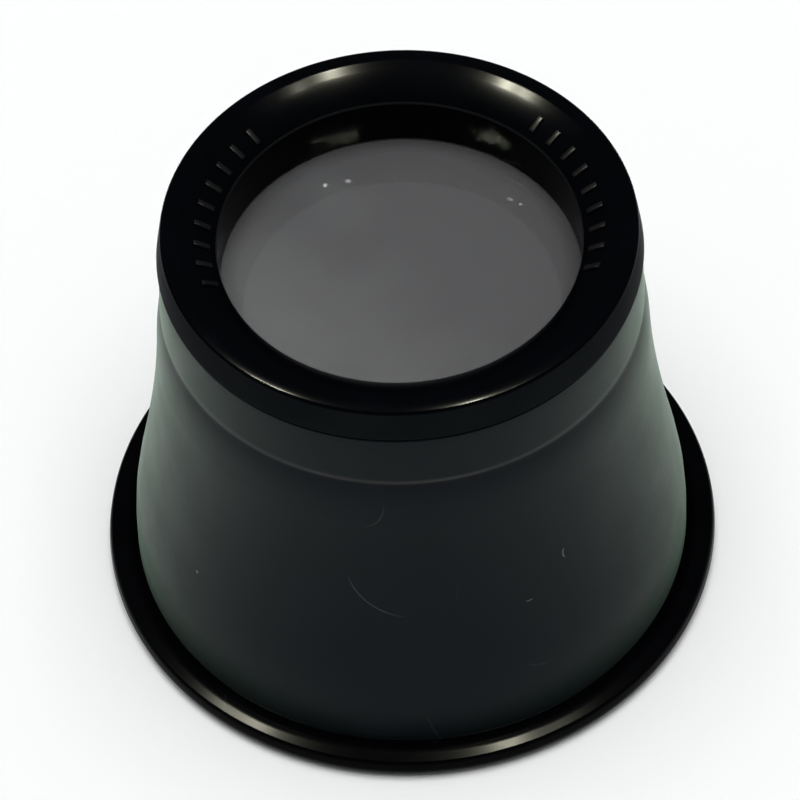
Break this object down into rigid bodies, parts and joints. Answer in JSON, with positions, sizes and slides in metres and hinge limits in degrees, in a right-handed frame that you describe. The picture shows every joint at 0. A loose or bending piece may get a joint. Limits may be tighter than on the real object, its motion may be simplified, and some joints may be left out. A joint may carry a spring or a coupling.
{
  "type": "jeweler loupe",
  "caption": "Hands-free eye loupe: a hollow bell-shaped eye cup with a rolled rim, and a clear convex lens held in its neck by a dished screw ring.",
  "frame": {"origin": "centre of the flat face under the eye rim, on the loupe's axis", "axes": "+Z along the loupe's axis from the eye rim to the screw ring; the loupe is round, so +X and +Y are any two square directions"},
  "size_m": [0.036, 0.036, 0.0277],
  "materials": {
    "eyecup_body": "black moulded plastic, satin on the barrel and polished on the rolled rim",
    "lens": "polished clear faces with a ground edge",
    "lens_ring": "polished black"
  },
  "bodies": {
    "eyecup": {"eyecup_body": "eyecup_body"},
    "lens_carrier": {"lens": "lens"},
    "ring": {"lens_ring": "lens_ring"}
  },
  "joints": [
    {"name": "lens_lift", "type": "slide", "parent": "eyecup", "child": "lens_carrier", "axis": [0, 0, 1], "range_m": [0, 0.00188]},
    {"name": "ring_turn", "type": "hinge", "parent": "lens_carrier", "child": "ring", "pos_m": [0, 0, 0.0255], "axis": [0, 0, 1], "range_deg": [0, 900]}
  ],
  "couplings": [
    {"joint": "lens_lift", "follows": "ring_turn", "m_per_rad": 0.00011937}
  ]
}
